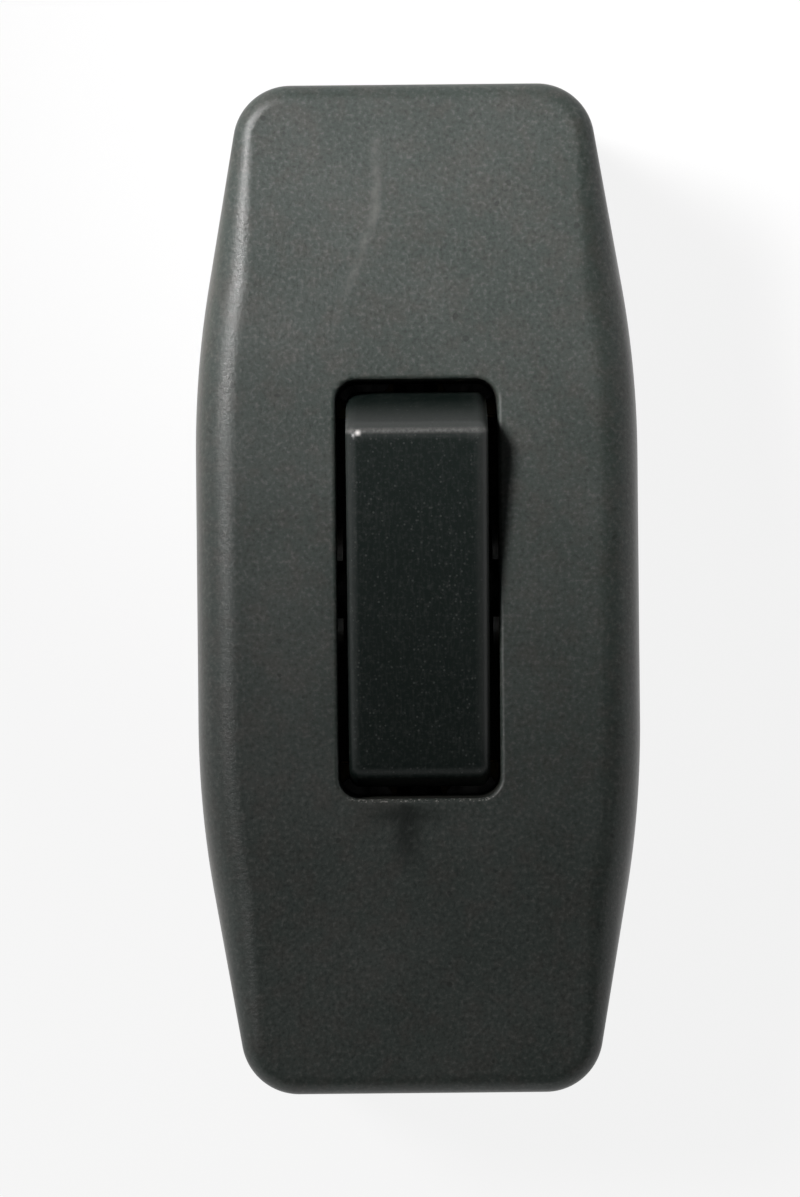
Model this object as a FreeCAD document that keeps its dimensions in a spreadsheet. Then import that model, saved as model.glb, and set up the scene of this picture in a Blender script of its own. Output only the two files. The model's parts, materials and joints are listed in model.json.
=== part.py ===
import FreeCAD, Part
import math
import os
import re
import Sketcher

# Inline cord switch: two moulded shells around a two-pole rocking contact, worked by a rocker.
# Millimetres. Origin under the middle of the base, +Y along the cord, +Z up to the rocker.
# Modelled at rest in the off position, with the rocker's +Y end raised.

doc = FreeCAD.newDocument("inline_cord_switch")

sizes = {
    # housing outline, seen from above
    "body_length": 70,
    "body_width": 30.8,
    "knee_place": 15.5,
    "taper_angle": 10.2,
    "knee_radius": 70,
    "corner_radius": 4,
    "least_corner": 0.3,
    # housing heights, walls and edges
    "body_height": 23,
    "parting_height": 9.5,
    "wall": 2,
    "top_wall": 2.2,
    "base_wall": 2,
    "side_rounding": 2.9,
    "end_rounding": 1.4,
    "base_chamfer": 1.2,
    "lip_thickness": 0.9,
    "lip_height": 1.2,
    "lip_clearance": 0.1,
    "cord_radius": 4,
    # window and the well that hangs below it
    "window_length": 29,
    "window_width": 11.2,
    "window_corner": 1.5,
    "window_edge": 0.3,
    "well_wall": 1.2,
    "well_depth": 7.5,
    "guide_start": 2,
    "guide_radius": 4.4,
    "guide_reach": 0.4,
    # rocker, in its own frame with the pivot at the origin
    "pivot_depth": 5,
    "rocker_side_gap": 0.7,
    "rocker_end_gap": 0.65,
    "rocker_top": 6.8,
    "rocker_skirt": 2,
    "rocker_tilt": 8,
    "rocker_edge": 0.8,
    "rocker_wall": 1.3,
    "rocker_roof": 1.6,
    "trunnion_radius": 1.6,
    "trunnion_play": 0.1,
    "running_clearance": 0.05,
    "saddle_width": 3,
    "saddle_gap": 0.3,
    "rib_length": 9,
    "rib_thickness": 1,
    # plungers and their springs
    "pole_offset": 2.45,
    "barrel_radius": 1.9,
    "barrel_drop": 5.5,
    "bore_top": 2.5,
    "plunger_radius": 1.25,
    "plunger_top": 2.6,
    "plunger_gap": 0.04,
    "recess_radius": 0.95,
    "recess_depth": 3,
    "spring_wire": 0.3,
    "spring_turns": 5,
    "spring_end_gap": 0.1,
    # rocking contact bridges
    "seat_rise": 2,
    "fulcrum_rise": 3.6,
    "fulcrum_radius": 0.5,
    "bridge_tilt": 7,
    "bridge_reach": 9,
    "bridge_thickness": 1.5,
    "bridge_width": 3,
    "contact_reach": 7.5,
    "contact_radius": 1.2,
    "contact_thickness": 0.6,
    "contact_face": 1,
    "contact_gap": 0.2,
    # terminals
    "strip_thickness": 1,
    "strip_back": 1,
    "rest_tab": 1,
    "rest_gap": 0.05,
    "block_room": 2.65,
    "block_length": 6,
    "block_inner": 1.6,
    "block_width": 4.8,
    "block_height": 6.5,
    "wire_radius": 1.4,
    "wire_rise": 3.2,
    "wire_slot_margin": 0.1,
    "keeper_gap": 0.1,
    "keeper_wall": 1.2,
    "keeper_drop": 0.3,
    "divider_wall": 1.2,
    "divider_height": 11,
    # cord clamps
    "clamp_depth": 5,
    "clamp_gap": 0.4,
    "clamp_bore": 3.6,
    "clamp_arch": 2,
    "clamp_ear": 2,
    "clamp_drop": 0.5,
    "clamp_post_width": 4.2,
    "cord_saddle_drop": 2.5,
    # screws
    "thread_clearance": 0.05,
    "passage_clearance": 0.25,
    "pilot_spare": 0.8,
    "terminal_screw_radius": 1.5,
    "terminal_screw_length": 4,
    "terminal_head_radius": 2.3,
    "terminal_head_height": 1.8,
    "terminal_head_gap": 0.8,
    "clamp_screw_radius": 1.1,
    "clamp_screw_length": 7,
    "clamp_head_radius": 2,
    "clamp_head_height": 1.5,
    "clamp_head_gap": 0.2,
    "housing_screw_radius": 1.45,
    "housing_screw_length": 12,
    "housing_head_radius": 2.5,
    "housing_head_height": 1.9,
    "housing_head_depth": 5,
    "housing_boss_wall": 1.1,
    "housing_post_wall": 0.7,
    "housing_boss_gap": 0.4,
    "slot_width": 0.7,
    "slot_depth": 0.9,
}

sheet = doc.addObject("Spreadsheet::Sheet", "dims")
for row, (alias, size) in enumerate(sizes.items(), 1):
    sheet.set(f"A{row}", str(size))
    sheet.setAlias(f"A{row}", alias)
doc.recompute()

# How close two numbers count as equal where edges are picked by place.
tolerance = 0.001

# Screws, plungers, contacts and their holes repeat, so their rounds are drawn with a few sides.
small_sides = 12

# How many strips a taper's rounding has.
taper_strips = 6

# Places that several pieces share, as formulas over the sheet.
half_width = "(body_width / 2)"
half_length = "(body_length / 2)"
pivot = "(body_height - pivot_depth)"
seat = "(base_wall + seat_rise)"
fulcrum = f"({seat} + fulcrum_rise)"
well_bottom = "(body_height - well_depth)"
ceiling = "(body_height - top_wall)"
rocker_half = "(window_width / 2 - rocker_side_gap)"
swing = "(window_length / 2 - rocker_end_gap)"
bearing_radius = "(trunnion_radius + running_clearance)"
block_place = "(block_inner + block_width / 2)"
clamp_seat = "(parting_height - clamp_drop)"
boss_radius = "(housing_screw_radius + thread_clearance + housing_boss_wall)"
boss_y = f"({half_length} - wall - {boss_radius} - housing_boss_gap)"
boss_x = (
    f"({half_width} - ({boss_y} - knee_place) * tan(taper_angle)"
    f" - wall / cos(taper_angle) - {boss_radius} - housing_boss_gap)"
)
post_radius = "(housing_head_radius + passage_clearance + housing_post_wall)"
clamp_place = f"({boss_y} - {post_radius} - clamp_gap - clamp_depth / 2)"
block_end = f"({clamp_place} - clamp_depth / 2 - block_room)"
block_start = f"({block_end} - block_length)"
block_middle = f"({block_end} - block_length / 2)"
clamp_crown = "(clamp_bore + clamp_arch)"
clamp_screw_x = f"({clamp_crown} + clamp_head_radius + clamp_head_gap)"
tip_drop = f"({pivot} - {fulcrum} - bridge_thickness - plunger_radius - plunger_gap)"


def formula(text):
    """The same formula with each size read from the sheet."""
    return re.sub(r"\b([a-z]\w*)\b(?!\s*\()", r"dims.\1", text)


def measure(text):
    """The number that a formula gives now."""
    return float(sheet.evalExpression(formula(text)))


def bind(item, **formulas):
    """Ties properties to formulas. Two underscores in a name stand for a dot."""
    for name, text in formulas.items():
        item.setExpression(name.replace("__", "."), formula(text))
    return item


def place(item, x="0", y="0", z="0", tilt=None):
    """Ties an object's Placement to formulas, with an optional turn about X."""
    if tilt:
        item.Placement = FreeCAD.Placement(
            FreeCAD.Vector(), FreeCAD.Rotation(FreeCAD.Vector(1, 0, 0), measure(tilt))
        )
        bind(item, Placement__Rotation__Angle=tilt)
    return bind(item, Placement__Base__x=x, Placement__Base__y=y, Placement__Base__z=z)


def body(label):
    item = doc.addObject("PartDesign::Body", label)
    item.Label = label
    return item


def sketch(owner, name, plane="XY", level="0"):
    """Empty sketch on one of the body's own planes, moved along the plane's normal."""
    item = owner.newObject("Sketcher::SketchObject", name)
    role = f"{plane}_Plane"
    support = next(f for f in owner.Origin.OriginFeatures if f.Role == role)
    item.AttachmentSupport = (support, [""])
    item.MapMode = "FlatFace"
    return bind(item, AttachmentOffset__Base__z=level)


def limit(kind, geometry, point, text):
    """A constraint that fixes one coordinate of a sketch point, with the formula that drives it."""
    return Sketcher.Constraint(kind, -1, 1, geometry, point, measure(text)), text


def constrain(item, limits):
    """Adds constraints to a sketch, each with its formula or None."""
    numbers = item.addConstraint([constraint for constraint, text in limits])
    for number, (constraint, text) in zip(numbers, limits):
        if text:
            item.setExpression(f"Constraints[{number}]", formula(text))


def outline(item, corners, arcs=None):
    """Closed outline through corners given as formulas.

    arcs maps the number of an edge to its centre and its turn, 1 counter-clockwise or -1 clockwise.
    """
    arcs = arcs or {}
    count = len(corners)
    first = item.GeometryCount
    points = [FreeCAD.Vector(measure(x), measure(y), 0) for x, y in corners]
    ends = []
    limits = []
    for index in range(count):
        start, stop = points[index], points[(index + 1) % count]
        if index not in arcs:
            item.addGeometry(Part.LineSegment(start, stop), False)
            ends.append((1, 2))
            continue
        centre_x, centre_y, turn = arcs[index]
        centre = FreeCAD.Vector(measure(centre_x), measure(centre_y), 0)
        circle = Part.Circle(centre, FreeCAD.Vector(0, 0, 1), (start - centre).Length)
        angles = [circle.parameter(start), circle.parameter(stop)]
        if turn < 0:
            angles.reverse()
        item.addGeometry(Part.ArcOfCircle(circle, *angles), False)
        ends.append((1, 2) if turn > 0 else (2, 1))
        chord = stop - start
        if abs(chord.y) > abs(chord.x):
            limits.append(limit("DistanceX", first + index, 3, centre_x))
        else:
            limits.append(limit("DistanceY", first + index, 3, centre_y))
    for index, (x, y) in enumerate(corners):
        after = (index + 1) % count
        joint = (first + index, ends[index][1], first + after, ends[after][0])
        limits.append((Sketcher.Constraint("Coincident", *joint), None))
        limits.append(limit("DistanceX", first + index, ends[index][0], x))
        limits.append(limit("DistanceY", first + index, ends[index][0], y))
    constrain(item, limits)
    return item


def rectangle(item, x0, x1, y0, y1):
    return outline(item, [(x0, y0), (x1, y0), (x1, y1), (x0, y1)])


def circle(item, x, y, radius):
    centre = FreeCAD.Vector(measure(x), measure(y), 0)
    number = item.addGeometry(Part.Circle(centre, FreeCAD.Vector(0, 0, 1), measure(radius)), False)
    reach = (Sketcher.Constraint("Radius", number, measure(radius)), radius)
    constrain(item, [limit("DistanceX", number, 3, x), limit("DistanceY", number, 3, y), reach])
    return item


def small_round(item, x, y, radius):
    """A small round that repeats, drawn as a regular polygon."""
    corners = []
    for number in range(small_sides):
        angle = 360 / small_sides * number
        corners.append((f"{x} + ({radius}) * cos({angle})", f"{y} + ({radius}) * sin({angle})"))
    return outline(item, corners)


def extrude(owner, profile, length, cut=False, back=False, middle=False):
    """Pads a sketch along its normal, or pockets it against its normal, the other way if back is set."""
    kind = "Pocket" if cut else "Pad"
    item = owner.newObject(f"PartDesign::{kind}", f"{profile.Name}_{kind.lower()}")
    item.Profile = profile
    item.Reversed = back
    if middle:
        item.SideType = "Symmetric"
    bind(item, Length=length)
    before = owner.Tip.BaseFeature.Shape.Volume if cut else 0
    doc.recompute()
    if cut and not item.Shape.Volume < before - tolerance:
        raise ValueError(f"{item.Name} cuts nothing")
    return item


def pad(owner, profile, length, **options):
    return extrude(owner, profile, length, **options)


def pocket(owner, profile, length, **options):
    return extrude(owner, profile, length, cut=True, **options)


def edges_where(shape, test):
    """Names of the edges whose middle point and ends pass a test."""
    names = []
    for number, edge in enumerate(shape.Edges, 1):
        middle = edge.valueAt((edge.FirstParameter + edge.LastParameter) / 2)
        if test(middle, [v.Point for v in edge.Vertexes]):
            names.append(f"Edge{number}")
    return names


def round_edges(owner, radius, test):
    base = owner.Tip
    item = owner.newObject("PartDesign::Fillet", f"{owner.Name}_rounding")
    item.Base = (base, edges_where(base.Shape, test))
    bind(item, Radius=radius)
    doc.recompute()
    return item


def bevel_edges(owner, size, test):
    base = owner.Tip
    item = owner.newObject("PartDesign::Chamfer", f"{owner.Name}_bevel")
    item.Base = (base, edges_where(base.Shape, test))
    bind(item, Size=size)
    doc.recompute()
    return item


def barrel(item, inset="0"):
    """The housing's outline drawn in by an inset: straight sides, knees, tapers, corners, ends."""
    corner = f"max(corner_radius - {inset}; least_corner)"
    knee = f"(knee_radius - {inset})"
    side = f"({half_width} - {inset})"
    end = f"({half_length} - {inset})"
    knee_y = f"(knee_place - {inset} * tan(taper_angle / 2))"
    end_x = f"({side} - ({end} - {knee_y}) * tan(taper_angle))"
    knee_reach = f"({knee} * tan(taper_angle / 2))"
    corner_reach = f"({corner} * tan(45 - taper_angle / 2))"
    quarter = [
        (side, f"{knee_y} - {knee_reach}"),
        (f"{side} - {knee_reach} * sin(taper_angle)", f"{knee_y} + {knee_reach} * cos(taper_angle)"),
        (f"{end_x} + {corner_reach} * sin(taper_angle)", f"{end} - {corner_reach} * cos(taper_angle)"),
        (f"{end_x} - {corner_reach}", end),
    ]
    knee_centre = (f"{side} - {knee}", f"{knee_y} - {knee_reach}")
    corner_centre = (f"{end_x} - {corner_reach}", f"{end} - {corner}")
    corners = []
    arcs = {}
    for turn_x, turn_y in ((1, 1), (-1, 1), (-1, -1), (1, -1)):
        forward = turn_x * turn_y > 0
        start = len(corners)
        points = quarter if forward else quarter[::-1]
        corners += [(f"{turn_x} * ({x})", f"{turn_y} * ({y})") for x, y in points]
        centres = (knee_centre, corner_centre) if forward else (corner_centre, knee_centre)
        for edge, (x, y) in zip((start, start + 2), centres):
            arcs[edge] = (f"{turn_x} * ({x})", f"{turn_y} * ({y})", 1)
    return outline(item, corners, arcs)


def cord_notches(shell):
    """Half a round cord hole through each end wall, centred on the parting plane."""
    for name, end, back in (("front", "-1", True), ("rear", "1", False)):
        notch = sketch(shell, f"{shell.Name}_{name}_notch", "XZ", f"{end} * {half_length}")
        circle(notch, "0", "parting_height", "cord_radius")
        pocket(shell, notch, "wall", back=back)


def upper_blank():
    """Outside of the upper shell, its top edge rounded wide at the sides and narrow at the ends.

    Straight stretches of the outline alternate with arcs. Each end of a straight stretch has a quarter
    circle from the wall to the flat top. Sides and ends extrude it, knees and corners turn it about
    their centre, and each taper rules a few strips from its wide quarter circle to its narrow one.
    """
    profile = doc.addObject("Sketcher::SketchObject", "upper_outline")
    place(profile, z="parting_height")
    barrel(profile)
    doc.recompute()
    wire = profile.Shape.Wires[0]
    up = FreeCAD.Vector(0, 0, 1)
    rise = measure("body_height - parting_height")
    knee_end = measure("knee_place + knee_radius * tan(taper_angle / 2)")

    def arcs(point, inward, count=1):
        """The quarter circle above a point of the outline, in equal lengths from the wall to the top."""
        radius = measure("side_rounding" if abs(point.y) < knee_end + tolerance else "end_rounding")
        centre = point + inward * radius + up * (rise - radius)
        ring = Part.Circle(centre, up.cross(inward), radius)
        begin = ring.parameter(centre - inward * radius)
        step = math.pi / 2 / count
        return [ring.toShape(begin + step * n, begin + step * (n + 1)) for n in range(count)]

    def tip(arc):
        return arc.valueAt(arc.LastParameter)

    faces = [Part.Face(wire)]
    rim = []
    for edge in wire.Edges:
        start, stop = edge.valueAt(edge.FirstParameter), edge.valueAt(edge.LastParameter)
        if isinstance(edge.Curve, Part.Circle):
            centre = edge.Curve.Center
            angle = math.degrees(edge.LastParameter - edge.FirstParameter)
            arc = arcs(start, (centre - start).normalize())[0]
            wall = Part.makeLine(start, arc.valueAt(arc.FirstParameter))
            faces += [line.revolve(centre, edge.Curve.Axis, angle) for line in (wall, arc)]
            rim.append(Part.Vertex(tip(arc)).revolve(centre, edge.Curve.Axis, angle))
            continue
        along = stop - start
        inward = up.cross(along).normalize()
        if inward.dot(start) > 0:
            inward = -inward
        taper = min(abs(along.x), abs(along.y)) > tolerance
        first, last = (arcs(point, inward, taper_strips if taper else 1) for point in (start, stop))
        if taper:
            faces += [Part.makeRuledSurface(one, other) for one, other in zip(first, last)]
        else:
            faces.append(first[0].extrude(along))
        feet = [arc[0].valueAt(arc[0].FirstParameter) for arc in (last, first)]
        faces.append(Part.Face(Part.makePolygon([start, stop, *feet, start])))
        rim.append(Part.makeLine(tip(first[-1]), tip(last[-1])))
    faces.append(Part.Face(Part.Wire(Part.__sortEdges__(rim))))
    skin = Part.makeShell(faces)
    skin.sewShape()
    item = doc.addObject("Part::Feature", "upper_blank")
    item.Shape = Part.makeSolid(skin)
    return item


def upper_shell():
    blank = upper_blank()
    shell = body("upper_shell")
    shell.BaseFeature = blank
    doc.recompute()
    cavity = barrel(sketch(shell, "upper_cavity", level="parting_height"), "wall")
    pocket(shell, cavity, f"{ceiling} - parting_height", back=True)
    rebate = sketch(shell, "upper_rebate", level="parting_height")
    barrel(rebate, "(wall - lip_thickness - lip_clearance)")
    pocket(shell, rebate, "lip_height + lip_clearance", back=True)

    well = sketch(shell, "well", level=well_bottom)
    across, along = "(window_width / 2 + well_wall)", "(window_length / 2 + well_wall)"
    rectangle(well, f"-{across}", across, f"-{along}", along)
    pad(shell, well, f"{ceiling} - {well_bottom}")

    window = sketch(shell, "window", level="body_height")
    far_x, far_y = "(window_width / 2)", "(window_length / 2)"
    near_x, near_y = f"({far_x} - window_corner)", f"({far_y} - window_corner)"
    outline(
        window,
        [
            (far_x, f"-{near_y}"), (far_x, near_y),
            (near_x, far_y), (f"-{near_x}", far_y),
            (f"-{far_x}", near_y), (f"-{far_x}", f"-{near_y}"),
            (f"-{near_x}", f"-{far_y}"), (near_x, f"-{far_y}"),
        ],
        {
            1: (near_x, near_y, 1), 3: (f"-{near_x}", near_y, 1),
            5: (f"-{near_x}", f"-{near_y}", 1), 7: (near_x, f"-{near_y}", 1),
        },
    )
    pocket(shell, window, "well_depth")
    top = measure("body_height")
    reach_x, reach_y = measure(far_x) + tolerance, measure(far_y) + tolerance

    def on_window_edge(middle, ends):
        return middle.z > top - tolerance and abs(middle.x) < reach_x and abs(middle.y) < reach_y

    bevel_edges(shell, "window_edge", on_window_edge)

    # Guides on the well's cheeks centre the rocker, either side of the slots that its trunnions ride in.
    guide_y = "sqrt(guide_radius ^ 2 - (well_depth - pivot_depth) ^ 2)"
    guide_z = f"{pivot} + sqrt(guide_radius ^ 2 - guide_start ^ 2)"
    for name, level in (("right", f"{far_x} - guide_reach"), ("left", f"-{far_x}")):
        guides = sketch(shell, f"guides_{name}", "YZ", level)
        for turn in (1, -1):
            outline(
                guides,
                [
                    (f"{turn} * guide_start", well_bottom), (f"{turn} * {guide_y}", well_bottom),
                    (f"{turn} * guide_start", guide_z),
                ],
                {1: ("0", pivot, turn)},
            )
        pad(shell, guides, "guide_reach")
    slots = sketch(shell, "trunnion_slots", "YZ")
    outline(
        slots,
        [
            (f"-{bearing_radius}", well_bottom), (bearing_radius, well_bottom),
            (bearing_radius, pivot), (f"-{bearing_radius}", pivot),
        ],
        {2: ("0", pivot, 1)},
    )
    pocket(shell, slots, f"2 * {across}", middle=True)

    bosses = sketch(shell, "upper_bosses", level="parting_height")
    pilots = sketch(shell, "upper_pilots", level="parting_height")
    for turn in (1, -1):
        x, y = f"{turn} * {boss_x}", f"{turn} * {boss_y}"
        small_round(bosses, x, y, boss_radius)
        small_round(pilots, x, y, "housing_screw_radius + thread_clearance")
    pad(shell, bosses, f"{ceiling} - parting_height")
    pilot_top = "housing_head_depth + housing_screw_length + pilot_spare"
    pocket(shell, pilots, f"{pilot_top} - parting_height", back=True)
    cord_notches(shell)
    return shell


def lower_shell():
    shell = body("lower_shell")
    pad(shell, barrel(sketch(shell, "lower_outline")), "parting_height")
    bevel_edges(shell, "base_chamfer", lambda middle, ends: max(p.z for p in ends) < tolerance)
    cavity = barrel(sketch(shell, "lower_cavity", level="parting_height"), "wall")
    pocket(shell, cavity, "parting_height - base_wall")
    lip = sketch(shell, "lip", level="parting_height")
    barrel(lip, "(wall - lip_thickness)")
    barrel(lip, "wall")
    pad(shell, lip, "lip_height")

    # Cross ribs carry the terminals, and keepers round each clamping block hold it in place.
    ribs = sketch(shell, "terminal_ribs", level="base_wall")
    keepers = sketch(shell, "keepers", level="base_wall")
    reach = f"({block_place} + block_width / 2)"
    for turn in (1, -1):
        for y in (block_start, f"{block_end} - keeper_wall", "contact_reach - keeper_wall / 2"):
            ends = sorted((f"{turn} * ({y})", f"{turn} * ({y} + keeper_wall)"), key=measure)
            for side in (1, -1):
                x = sorted((f"{side} * divider_wall / 2", f"{side} * {reach}"), key=measure)
                rectangle(ribs, *x, *ends)
        for side in (1, -1):
            ends = sorted((f"{turn} * {block_start}", f"{turn} * {block_end}"), key=measure)
            near = f"{side} * ({reach} + keeper_gap)"
            x = sorted((near, f"{near} + {side} * keeper_wall"), key=measure)
            rectangle(keepers, *x, *ends)
            stop = f"{turn} * ({block_end} + keeper_gap)"
            ends = sorted((stop, f"{stop} + {turn} * keeper_wall"), key=measure)
            inner = f"{side} * ({block_place} - wire_radius)"
            outer = f"{side} * ({block_place} + wire_radius)"
            rectangle(keepers, *sorted((inner, outer), key=measure), *ends)
    for side in (1, -1):
        x = sorted((f"{side} * divider_wall / 2", f"{side} * (pole_offset + bridge_width / 2)"), key=measure)
        rectangle(ribs, *x, "-keeper_wall / 2", "keeper_wall / 2")
    pad(shell, ribs, "seat_rise")
    pad(shell, keepers, "seat_rise + wire_rise - wire_radius - keeper_drop")
    divider = sketch(shell, "divider", level="base_wall")
    rectangle(divider, "-divider_wall / 2", "divider_wall / 2", f"-{block_end}", block_end)
    pad(shell, divider, "divider_height - base_wall")

    # Bearing ribs close the trunnion slots from below with a round saddle.
    half = "(saddle_width / 2)"
    horn = f"({pivot} - sqrt({bearing_radius} ^ 2 - {half} ^ 2))"
    shoulder = f"({well_bottom} - saddle_gap)"
    near = "(window_width / 2 + well_wall / 2 - rib_thickness / 2)"
    for name, level in (("right", near), ("left", f"-{near} - rib_thickness")):
        rib = sketch(shell, f"bearing_rib_{name}", "YZ", level)
        outline(
            rib,
            [
                ("-rib_length / 2", "base_wall"), ("rib_length / 2", "base_wall"),
                (f"{half} + rib_thickness", shoulder), (half, shoulder), (half, horn),
                (f"-{half}", horn), (f"-{half}", shoulder), (f"-{half} - rib_thickness", shoulder),
            ],
            {4: ("0", pivot, -1)},
        )
        pad(shell, rib, "rib_thickness")

    # Posts for the clamp and housing screws, and a saddle under each cord.
    posts = sketch(shell, "clamp_posts", level="base_wall")
    pilots = sketch(shell, "clamp_pilots", level=clamp_seat)
    saddles = sketch(shell, "cord_saddles", level="base_wall")
    screw_posts = sketch(shell, "screw_posts", level="base_wall")
    passages = sketch(shell, "screw_passages", level="parting_height")
    counterbores = sketch(shell, "counterbores")
    for turn in (1, -1):
        for side in (1, -1):
            x, y = f"{side} * {clamp_screw_x}", f"{turn} * {clamp_place}"
            half = "clamp_post_width / 2"
            rectangle(posts, f"{x} - {half}", f"{x} + {half}", f"{y} - {half}", f"{y} + {half}")
            small_round(pilots, x, y, "clamp_screw_radius + thread_clearance")
            start = f"{turn} * ({clamp_place} + {side} * clamp_depth / 4)"
            ends = (f"{start} - keeper_wall / 2", f"{start} + keeper_wall / 2")
            rectangle(saddles, "-cord_radius", "cord_radius", *ends)
        x, y = f"{turn} * {boss_x}", f"{turn} * {boss_y}"
        small_round(screw_posts, x, y, post_radius)
        small_round(passages, x, y, "housing_screw_radius + passage_clearance")
        circle(counterbores, x, y, "housing_head_radius + passage_clearance")
    pad(shell, posts, f"{clamp_seat} - base_wall")
    pocket(shell, pilots, "clamp_screw_length - clamp_ear + pilot_spare")
    pad(shell, saddles, "parting_height - cord_saddle_drop - base_wall")
    for name, turn in (("front", 1), ("rear", -1)):
        lane = sketch(shell, f"cord_lane_{name}", "XZ", f"{-turn} * ({clamp_place} - clamp_depth / 2)")
        circle(lane, "0", "parting_height", "cord_radius")
        pocket(shell, lane, "clamp_depth", back=turn < 0)
    pad(shell, screw_posts, "parting_height - base_wall")
    pocket(shell, passages, "parting_height")
    pocket(shell, counterbores, "housing_head_depth", back=True)
    cord_notches(shell)
    return shell


def rocker():
    """Hollow rocker whose ends are round about its pivot, with an axle and a block for two plungers."""
    item = body("rocker")
    profile = sketch(item, "rocker_profile", "YZ")
    top_half = f"sqrt({swing} ^ 2 - rocker_top ^ 2)"
    skirt_half = f"sqrt({swing} ^ 2 - rocker_skirt ^ 2)"
    outline(
        profile,
        [
            (skirt_half, "-rocker_skirt"), (top_half, "rocker_top"),
            (f"-{top_half}", "rocker_top"), (f"-{skirt_half}", "-rocker_skirt"),
        ],
        {0: ("0", "0", 1), 2: ("0", "0", 1)},
    )
    pad(item, profile, f"2 * {rocker_half}", middle=True)
    top = measure("rocker_top")
    round_edges(item, "rocker_edge", lambda middle, ends: min(p.z for p in ends) > top - tolerance)
    roof = "(rocker_top - rocker_roof)"
    hollow = sketch(item, "rocker_hollow", level="-rocker_skirt")
    across = f"({rocker_half} - rocker_wall)"
    along = f"(sqrt({swing} ^ 2 - {roof} ^ 2) - rocker_wall)"
    rectangle(hollow, f"-{across}", across, f"-{along}", along)
    pocket(item, hollow, f"{roof} + rocker_skirt", back=True)
    axle = circle(sketch(item, "axle", "YZ"), "0", "0", "trunnion_radius")
    pad(item, axle, "window_width + 2 * well_wall - 2 * trunnion_play", middle=True)
    block = sketch(item, "plunger_block", level="-barrel_drop")
    reach = "(pole_offset + barrel_radius)"
    rectangle(block, f"-{reach}", reach, "-barrel_radius", "barrel_radius")
    pad(item, block, f"barrel_drop + {roof}")
    bores = sketch(item, "bores", level="-barrel_drop")
    for side in (1, -1):
        small_round(bores, f"{side} * pole_offset", "0", "plunger_radius + running_clearance")
    pocket(item, bores, "barrel_drop + bore_top", back=True)
    return place(item, z=pivot, tilt="rocker_tilt")


def plunger(name, side):
    """Blunt-nosed plunger, recessed at the top for its spring. Its frame is the rocker's.

    The nose narrows to where a round one would meet the leaning bridge.
    """
    item = body(f"plunger_{name}")
    lean = "(rocker_tilt + bridge_tilt)"
    stem = sketch(item, f"plunger_stem_{name}", level=f"-{tip_drop}")
    pad(item, small_round(stem, "0", "0", "plunger_radius"), f"{tip_drop} - plunger_top")
    root = sketch(item, f"plunger_nose_{name}", level=f"-{tip_drop}")
    small_round(root, "0", "0", "plunger_radius")
    nose = pad(item, root, f"plunger_radius * cos({lean})", back=True)
    bind(nose, TaperAngle=f"{lean} / 2 - 45")
    recess = sketch(item, f"plunger_recess_{name}", level="-plunger_top")
    pocket(item, small_round(recess, "0", "0", "recess_radius"), "recess_depth")
    return place(item, f"{side} * pole_offset", z=pivot, tilt="rocker_tilt")


def plunger_spring(name, side):
    """Coil spring from the bottom of the plunger's recess to the top of the rocker's bore.

    The coil is a run of short straight lengths of square wire.
    """
    wire = measure("spring_wire / 2")
    radius = measure("recess_radius - running_clearance") - wire
    bottom = measure("-plunger_top - recess_depth + spring_end_gap") + wire
    height = measure("bore_top - spring_end_gap") - wire - bottom
    steps = 6
    sides = 4
    count = steps * round(measure("spring_turns"))
    points = []
    for step in range(count + 1):
        angle = 2 * math.pi * step / steps
        rise = bottom + height * step / count
        points.append(FreeCAD.Vector(radius * math.cos(angle), radius * math.sin(angle), rise))
    ring = []
    for step in range(sides + 1):
        angle = 2 * math.pi * step / sides
        ring.append(FreeCAD.Vector(wire * math.cos(angle), wire * math.sin(angle), 0))
    section = Part.makePolygon(ring)
    turn = FreeCAD.Rotation(FreeCAD.Vector(0, 0, 1), points[1] - points[0])
    section.Placement = FreeCAD.Placement(points[0], turn)
    right_corners = 1
    item = doc.addObject("Part::Feature", f"plunger_spring_{name}")
    item.Label = f"plunger_spring_{name}"
    item.Shape = Part.makePolygon(points).makePipeShell([section], True, False, right_corners)
    return place(item, f"{side} * pole_offset", z=pivot, tilt="rocker_tilt")


def contact_bridge(name, side):
    """Rocking contact bar, notched underneath where it sits on its fulcrum."""
    item = body(f"contact_bridge_{name}")
    profile = sketch(item, f"bridge_profile_{name}", "YZ")
    notch = "(fulcrum_radius + running_clearance)"
    outline(
        profile,
        [
            ("-bridge_reach", "0"), (f"-{notch}", "0"), (notch, "0"), ("bridge_reach", "0"),
            ("bridge_reach", "bridge_thickness"), ("-bridge_reach", "bridge_thickness"),
        ],
        {1: ("0", "0", -1)},
    )
    pad(item, profile, "bridge_width", middle=True)
    return place(item, f"{side} * pole_offset", z=fulcrum, tilt="-bridge_tilt")


def moving_contact(name, side):
    """Flat button under the bridge's free end."""
    item = doc.addObject("Part::Prism", f"moving_contact_{name}")
    item.Label = f"moving_contact_{name}"
    item.Polygon = small_sides
    bind(item, Circumradius="contact_face", Height="contact_thickness")
    return place(
        item, f"{side} * pole_offset",
        "-contact_reach * cos(bridge_tilt) - contact_thickness * sin(bridge_tilt)",
        f"{fulcrum} + contact_reach * sin(bridge_tilt) - contact_thickness * cos(bridge_tilt)",
        tilt="-bridge_tilt",
    )


def fixed_contact(name, side):
    """Flat button that the moving contact closes on."""
    drop = "(contact_reach * sin(bridge_tilt) + contact_thickness * cos(bridge_tilt) + contact_gap)"
    item = doc.addObject("Part::Prism", f"fixed_contact_{name}")
    item.Label = f"fixed_contact_{name}"
    item.Polygon = small_sides
    bind(item, Circumradius="contact_radius", Height=f"fulcrum_rise - strip_thickness - {drop}")
    return place(item, f"{side} * pole_offset", "-contact_reach", f"{seat} + strip_thickness")


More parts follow.
